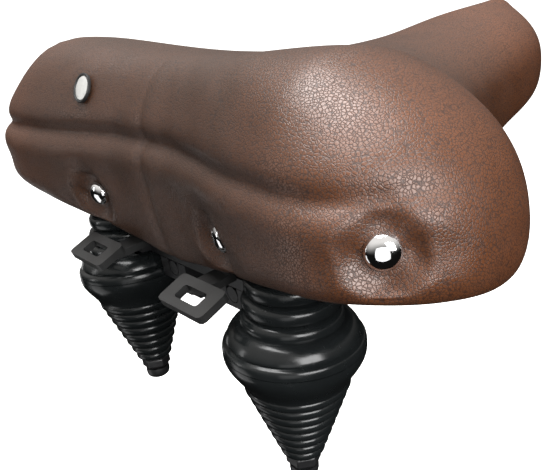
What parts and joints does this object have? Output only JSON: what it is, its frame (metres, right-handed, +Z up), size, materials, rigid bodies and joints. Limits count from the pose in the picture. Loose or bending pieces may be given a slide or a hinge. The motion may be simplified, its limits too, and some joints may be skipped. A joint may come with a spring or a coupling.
{
  "type": "bicycle saddle",
  "caption": "Wide padded comfort bicycle saddle on twin rails, with conical rubber-booted springs under the rear that let the top sink about a nose pin.",
  "frame": {"origin": "midway between the two rails, in the middle of their straight clamp zone", "axes": "+Y towards the nose (riding direction), +X to the rider's right, +Z up"},
  "size_m": [0.279, 0.2536, 0.1605],
  "materials": {
    "leatherette": "dark brown pebble-grained faux leather, soft satin",
    "foam": "open-cell padding foam",
    "shell_plastic": "black moulded plastic",
    "boot_rubber": "glossy black rubber",
    "chrome": "polished dome",
    "zinc_steel": "zinc-plated steel",
    "black_steel": "black-coated steel",
    "badge": "plain grey oval badge"
  },
  "bodies": {
    "frame": {"nose_bracket": "black_steel", "pivot_pin": "zinc_steel", "rear_yoke": "black_steel", "left_rail": "black_steel", "left_rail_strap": "black_steel", "left_strap_screw_inner": "black_steel", "left_strap_screw_outer": "black_steel", "left_spring_bolt": "zinc_steel", "left_bolt_washer": "zinc_steel", "left_foot_washer": "zinc_steel", "left_foot_collar": "black_steel", "left_end_nut": "black_steel", "left_boot_cone": "boot_rubber", "left_coil_spring": "zinc_steel", "right_rail": "black_steel", "right_rail_strap": "black_steel", "right_strap_screw_inner": "black_steel", "right_strap_screw_outer": "black_steel", "right_spring_bolt": "zinc_steel", "right_bolt_washer": "zinc_steel", "right_foot_washer": "zinc_steel", "right_foot_collar": "black_steel", "right_end_nut": "black_steel", "right_boot_cone": "boot_rubber", "right_coil_spring": "zinc_steel"},
    "saddle_top": {"cover": "leatherette", "foam_pad": "foam", "base_shell": "shell_plastic", "badge": "badge", "left_inner_rivet": "chrome", "left_inner_rivet_washer": "zinc_steel", "left_outer_rivet": "chrome", "left_outer_rivet_washer": "zinc_steel", "right_inner_rivet": "chrome", "right_inner_rivet_washer": "zinc_steel", "right_outer_rivet": "chrome", "right_outer_rivet_washer": "zinc_steel", "nose_hanger": "black_steel", "hanger_screw_left": "black_steel", "hanger_screw_right": "black_steel", "left_spring_sleeve": "boot_rubber", "left_sleeve_screw_inner": "black_steel", "left_sleeve_screw_front": "black_steel", "left_boot_dome": "boot_rubber", "left_spring_seat": "zinc_steel", "left_rebound_ring": "boot_rubber", "right_spring_sleeve": "boot_rubber", "right_sleeve_screw_inner": "black_steel", "right_sleeve_screw_front": "black_steel", "right_boot_dome": "boot_rubber", "right_spring_seat": "zinc_steel", "right_rebound_ring": "boot_rubber"}
  },
  "joints": [
    {"name": "saddle_tilt", "type": "hinge", "parent": "frame", "child": "saddle_top", "pos_m": [0, 0.111, 0.023], "axis": [1, 0, 0], "range_deg": [0, 2.7], "stiffness_Nm_per_rad": 900, "springref_deg": -0.57, "deforming": ["left_coil_spring", "left_boot_cone", "right_coil_spring", "right_boot_cone"]}
  ]
}
